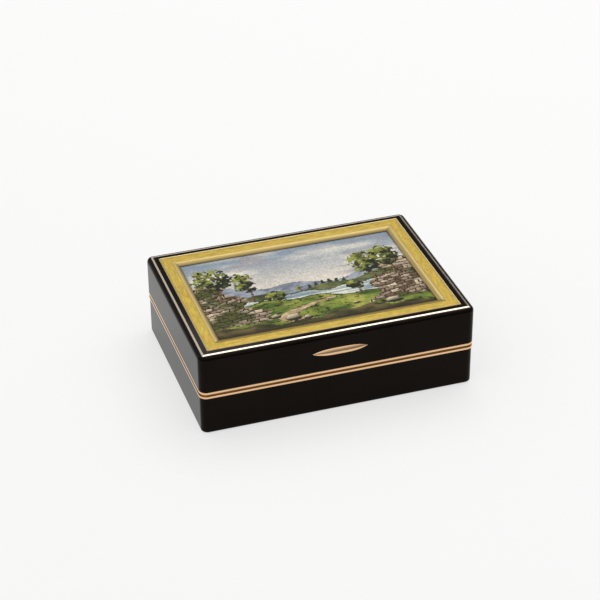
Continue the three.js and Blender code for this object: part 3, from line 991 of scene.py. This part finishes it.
def lake_view(x, y):
    """The far part of the picture: sky, hills, lake and meadow, at x and y from 0 to 1 over it."""
    colour = mix(tone(216, 208, 196), tone(144, 156, 168), (y - 0.52) / 0.42)
    colour = mix(colour, tone(232, 224, 208), (layered(x * 5 + 2, y * 9, 3) - 0.5) * 6 * (1.25 - y))
    colour = mix(colour, tone(164, 160, 162), (layered(x * 6, y * 16, 9) - 0.6) * 5)
    # Far mountains and a nearer ridge, with a line of tall narrow trees on it
    far = 0.55 + 0.05 * np.sin(x * 7 + 1) + 0.035 * np.sin(x * 17) + 0.02 * layered(x * 20, x, 5)
    crags = layered(x * 22, y * 30 - x * 12, 7) * 2.2 - 0.6
    mountain = mix(tone(168, 172, 180), tone(108, 116, 128), crags)
    colour = lay(colour, mountain, y < far)
    near = 0.49 + 0.05 * np.sin(x * 5 + 2.6) + 0.02 * np.sin(x * 23 + 1)
    row_of_trees = 0.045 * np.clip(np.sin(x * 190) + 0.25, 0, 1) * (np.abs(x - 0.58) < 0.1)
    ridge = mix(tone(132, 136, 92), tone(70, 80, 44), layered(x * 18, y * 26, 11) * 2.4 - 0.7)
    colour = lay(colour, tone(58, 68, 40), (y < near + row_of_trees) & (y >= near))
    colour = lay(colour, ridge, y < near)
    # The lake, with light streaks
    shore = 0.405 + 0.012 * np.sin(x * 19) + 0.01 * np.sin(x * 41)
    water = mix(tone(132, 150, 158), tone(222, 220, 206), layered(x * 5, y * 70, 21) * 2.6 - 0.8)
    colour = lay(colour, tone(74, 76, 48), y < shore + 0.008)
    colour = lay(colour, water, y < shore)
    # Meadow in front of the lake, with darker tufts and a sandy path across it
    bank = 0.30 + 0.06 * np.sin(x * 4.2 + 0.4) + 0.015 * np.sin(x * 27)
    grass = mix(tone(146, 158, 74), tone(74, 96, 38), layered(x * 12, y * 22, 31) * 2.2 - 0.6)
    grass = mix(grass, tone(174, 172, 92), (layered(x * 9, y * 9, 37) - 0.56) * 4)
    grass = mix(grass, tone(50, 62, 26), (layered(x * 44, y * 62, 39) - 0.6) * 9)
    colour = lay(colour, tone(58, 60, 34), y < bank + 0.01)
    colour = lay(colour, grass, y < bank)
    path_middle = 0.62 - 0.28 * np.sin(y * 9.5 + 0.2)
    path_half = 0.03 + 0.09 * (0.3 - y)
    sand = mix(tone(214, 196, 160), tone(150, 126, 96), layered(x * 30, y * 50, 41) * 2.2 - 0.6)
    on_path = (np.abs(x - path_middle) < path_half + 0.006) & (y < bank - 0.02)
    colour = lay(colour, tone(88, 78, 48), on_path)
    return lay(colour, sand, on_path & (np.abs(x - path_middle) < path_half))


def rocks(x, y, colour):
    """Layered rocks at both sides, cracked and lit from above, and dark ground along the foot."""
    left_edge = 0.30 - 0.34 * (y - 0.12) + 0.03 * np.sin(y * 31) + 0.04 * (layered(x * 3, y * 14, 51) - 0.5)
    left_top = 0.66 + 0.05 * np.sin(x * 16) - 0.5 * np.clip(x - 0.12, 0, 1)
    right_edge = 0.74 + 0.25 * (y - 0.16) + 0.03 * np.sin(y * 27 + 1)
    right_top = 0.60 + 0.06 * np.sin(x * 13 + 2) - 0.6 * np.clip(0.86 - x, 0, 1)
    slope = ((x < left_edge) & (y < left_top)) | ((x > right_edge) & (y < right_top))
    bed_here = y * 30 - x * 6 + 1.6 * layered(x * 9, y * 9, 61)
    step_here = bed_here % 1
    block_here = (x * 24 + np.floor(bed_here) * 0.37 + layered(x * 12, y * 12, 63)) % 1
    lit = layered(np.floor(x * 24) * 1.7, np.floor(bed_here) * 2.3, 65)
    rock = mix(tone(224, 208, 182), tone(108, 86, 66), lit * 1.8 - 0.4 + 0.5 * (1 - step_here))
    rock = mix(rock, tone(92, 96, 50), (layered(x * 8, y * 8, 71) - 0.55) * 8)
    rock = lay(rock, tone(54, 42, 30), (step_here < 0.2) | (block_here < 0.12))
    colour = lay(colour, rock, slope & (y > 0.14))
    # Boulders in the meadow
    for number, (middle, foot, wide, tall) in enumerate(boulders):
        across = (x - middle) / wide
        rise = (y - foot) / tall
        rough = 0.8 + 0.4 * layered(x * 30, y * 30, 75 + number)
        stone = mix(tone(76, 62, 46), tone(208, 196, 170), rise * 1.1 - across * 0.3 + rough - 0.9)
        colour = lay(colour, tone(44, 46, 24), (across ** 2 + (rise * 2) ** 2 < 1.5) & (rise < 0.25))
        colour = lay(colour, stone, (across ** 2 + rise ** 2 < rough) & (rise > 0))
    ground = 0.10 + 0.025 * np.sin(x * 11 + 0.7) + 0.015 * np.sin(x * 37)
    earth = mix(tone(116, 104, 66), tone(58, 56, 28), layered(x * 20, y * 26, 81) * 2.4 - 0.7)
    # Darker towards the bottom edge, beside the front rail
    earth = mix(earth, tone(52, 48, 22), (0.075 - y) * 18)
    return lay(colour, earth, y < ground)


def trees(x, y, colour):
    """Trees with dark hollows and sunlit leaves in front of the sky and the hills."""
    for number, (middle, foot, height, wide) in enumerate(tree_places):
        rise = (y - foot) / height
        across = (x - middle) / wide
        trunk_here = middle + 0.01 * np.sin(rise * 6)
        trunk_half = 0.006 - 0.003 * rise
        on_trunk = (np.abs(x - trunk_here) < trunk_half) & (rise > 0) & (rise < 0.7)
        bark = mix(tone(60, 44, 30), tone(150, 124, 92), (trunk_here - x) / 0.012 + 0.4)
        colour = lay(colour, bark, on_trunk)
        puffs = layered(x * 40 + number * 3, y * 26, 90 + number)
        reach = across ** 2 + ((rise - 0.68) / 0.34) ** 2
        crown = reach < 0.25 + 1.5 * puffs
        gaps = layered(x * 70, y * 46, 97 + number) > 0.6 + 0.1 * (1 - np.clip(reach, 0, 1))
        light = across * -0.45 + (rise - 0.68) * 1.5 + (layered(x * 52, y * 40, 95) - 0.5) * 2.2
        leaves = mix(tone(38, 46, 22), tone(158, 162, 82), 0.35 + light)
        leaves = lay(leaves, tone(30, 34, 18), layered(x * 60, y * 44, 99) > 0.64)
        colour = lay(colour, leaves, crown & ~gaps)
    return colour


# Each boulder's place across, foot, half width and height
boulders = (
    (0.36, 0.12, 0.03, 0.05), (0.42, 0.10, 0.018, 0.03), (0.82, 0.12, 0.035, 0.045),
    (0.29, 0.17, 0.02, 0.03), (0.66, 0.17, 0.015, 0.022),
)
# Each tree's place across, foot, height and half width
tree_places = (
    (0.10, 0.46, 0.42, 0.085), (0.235, 0.40, 0.36, 0.05), (0.335, 0.30, 0.18, 0.05),
    (0.80, 0.36, 0.44, 0.075), (0.905, 0.44, 0.38, 0.07), (0.70, 0.28, 0.17, 0.045),
    (0.455, 0.425, 0.06, 0.022),
)


# Rows of tiles, bent to follow the land and nearly level in the sky
chance = np.random.default_rng(27)
tiles = []
spare_rows = 6
for row in range(-spare_rows, int(2 * picture_half_y / tile_row) + spare_rows):
    x = -picture_half_x - chance.uniform(0, tile_most)
    level = -picture_half_y + row * tile_row
    while x < picture_half_x:
        wide = chance.uniform(tile_least, tile_most)
        middle = x + wide / 2
        across = middle / picture_half_x
        low_part = np.clip(0.5 - level / picture_half_y, 0, 1)
        bend = (1.6 * math.sin(across * 3.1 + 0.6) + 0.5 * math.sin(across * 8)) * MM * low_part
        tiles.append((middle, level + bend, wide))
        x += wide
tiles = np.array(tiles)
inside = (np.abs(tiles[:, 0]) < picture_half_x) & (np.abs(tiles[:, 1]) < picture_half_y)
middle_x, middle_y, sizes = tiles[inside].T
count = len(sizes)

share_x = (middle_x / picture_half_x + 1) / 2
share_y = (middle_y / picture_half_y + 1) / 2
colours = trees(share_x, share_y, rocks(share_x, share_y, lake_view(share_x, share_y)))
colours = colours * chance.uniform(0.86, 1.12, (count, 1))
# The glass is deeper in the darks and clearer in the lights than the design
colours = np.minimum(glass_gain * colours ** glass_contrast, palest_glass)
# Painted shade along the frame darkens the outermost tiles, where the frame's edge shades them
to_frame = np.minimum(picture_half_x - np.abs(middle_x), picture_half_y - np.abs(middle_y)) - under_frame
colours = colours * (0.4 + 0.6 * np.clip(to_frame / frame_shade_width, 0, 1))[:, None]
colours = colours * chance.uniform(0.97, 1.03, colours.shape)

# Each tile is a small box with its own slant, and the mastic between them lies a little lower
slant = chance.uniform(-0.06, 0.06, (count, 1))
plan_x = np.array((-1, 1, 1, -1)) * (sizes[:, None] - tile_joint) / 2
plan_y = np.array((-1, -1, 1, 1)) * (tile_row - tile_joint) / 2
tile_points = np.zeros((count, 8, 3))
tile_points[:, :4, 0] = tile_points[:, 4:, 0] = middle_x[:, None] + plan_x - plan_y * slant
tile_points[:, :4, 1] = tile_points[:, 4:, 1] = middle_y[:, None] + plan_y + plan_x * slant
tile_points[:, :4, 2] = panel_top - 2 * tile_depth
tile_points[:, 4:, 2] = panel_top - chance.uniform(0, 0.006, (count, 1)) * MM
box_faces = np.array([(4, 5, 6, 7), (0, 1, 5, 4), (1, 2, 6, 5), (2, 3, 7, 6), (3, 0, 4, 7), (3, 2, 1, 0)])
# A tile has no face below, and the slab that stands for the mastic comes after all the tiles
tile_faces = (box_faces[:5] + 8 * np.arange(count)[:, None, None]).reshape(-1, 4)
ends = (panel_low, panel_high)
slab = [
    (ends[right].x, ends[back].y, z)
    for z in (panel_low.z, panel_top - tile_depth)
    for right, back in ((0, 0), (1, 0), (1, 1), (0, 1))
]
points = np.concatenate((tile_points.reshape(-1, 3), np.array(slab)))
faces = np.concatenate((tile_faces, box_faces + 8 * count))
picture_mesh = bpy.data.meshes.new("mosaic_picture")
picture_mesh.from_pydata(points.tolist(), [], faces.tolist())
picture = bpy.data.objects.new("mosaic_picture", picture_mesh)
scene.collection.objects.link(picture)

corner_colours = np.ones((len(faces), 4, 4))
corner_colours[: 5 * count, :, :3] = np.repeat(colours, 5, axis=0)[:, None]
corner_colours[5 * count :, :, :3] = tone(104, 96, 80)
glass_colours = picture_mesh.color_attributes.new("glass_colours", "FLOAT_COLOR", "CORNER")
glass_colours.data.foreach_set("color", corner_colours.ravel())
flat_map = picture_mesh.uv_layers.new(name="OFBake")
loop_points = points[faces.ravel()]
panel_size = panel_high - panel_low
flat_u = (loop_points[:, 0] - panel_low.x) / panel_size.x
flat_v = (loop_points[:, 1] - panel_low.y) / panel_size.y
flat_map.data.foreach_set("uv", np.stack((flat_u, flat_v), 1).ravel())

glass_tiles, tree, shader = new_material("glass_tiles")
set_inputs(shader, IOR=1.3)
add_marks(tree, shader, 0.5, 0.15, 0.1, 0.1)
read_colour = add_node(tree, "VertexColor", layer_name="glass_colours")
wire_up(tree, (read_colour, "Color", shader, "Base Color"))
dress(picture, glass_tiles)
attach(picture, "lid")
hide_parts("mosaic_panel")


# Tray, mastic and rivets
# The picture was built up in a copper tray on a bed of lime and oil mastic. Once the lid is together,
# the frame and the lining hide them and the two pins that hold the thumbpiece.
copper_sheet = gold_finish("copper_sheet", (0.5, 0.22, 0.12), 0.35, 0.2, 0.08, 0.2)
set_mastic, tree, shader = new_material("set_mastic")
set_inputs(shader, Roughness=0.9)
grit = add_node(tree, "TexNoise", Scale=2500, Detail=4)
grit_colour = colour_mix(tree, A=(0.33, 0.28, 0.2, 1), B=(0.46, 0.41, 0.31, 1))
wire_up(tree, (grit, "Fac", grit_colour, "Factor"), (grit_colour, "Result", shader, "Base Color"))
for node, slot, material in (
    ("mosaic_tray", "tray_copper", copper_sheet),
    ("mosaic_mastic", "mastic", set_mastic),
    ("thumbpiece_rivet_left", "polished_gold", polished_gold),
    ("thumbpiece_rivet_right", "polished_gold", polished_gold),
):
    dress(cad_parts[node], material)


# Thumbpiece
# A pointed oval boss of gold, riveted to the front of the lid where the thumbnail pushes it up. It is
# filed to a long facet that leans back, stands proudest a little below its middle, and is polished.
thumb_low, thumb_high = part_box("thumbpiece")
thumb_middle = (thumb_low + thumb_high) / 2
thumb_half = (thumb_high - thumb_low) / 2
thumb_rim = 0.1 * MM
thumb_fullness = 3.3
thumb_crown = -0.3
thumb_facet = 1.7
thumb_edge = 0.8
thumb_stations = 72
thumb_steps = 28


def thumb_swell(height):
    """How far the face stands out, from 0 to 1, at a height from -1 to 1."""
    if height < thumb_crown:
        return math.sqrt(1 - ((thumb_crown - height) / (1 + thumb_crown)) ** 2)
    return (1 - ((height - thumb_crown) / (1 - thumb_crown)) ** thumb_facet) ** thumb_edge


loops = []
for along in np.linspace(-1, 1, thumb_stations + 1):
    swell = 1 - abs(along) ** thumb_fullness
    half = thumb_half.z * swell
    dome = (2 * thumb_half.y - thumb_rim) * swell
    rim = thumb_rim * math.sqrt(swell)
    x = thumb_middle.x + along * thumb_half.x
    loop = [(x, thumb_high.y, thumb_middle.z - half)]
    for angle in np.linspace(0, math.pi, thumb_steps + 1):
        height = -math.cos(angle)
        loop.append((x, thumb_high.y - rim - dome * thumb_swell(height), thumb_middle.z + half * height))
    loop.append((x, thumb_high.y, thumb_middle.z + half))
    loops.append(loop)
thumb = skin("thumbpiece_gold", loops, True)
place(thumb, "lid", polished_gold, "thumbpiece", 50)
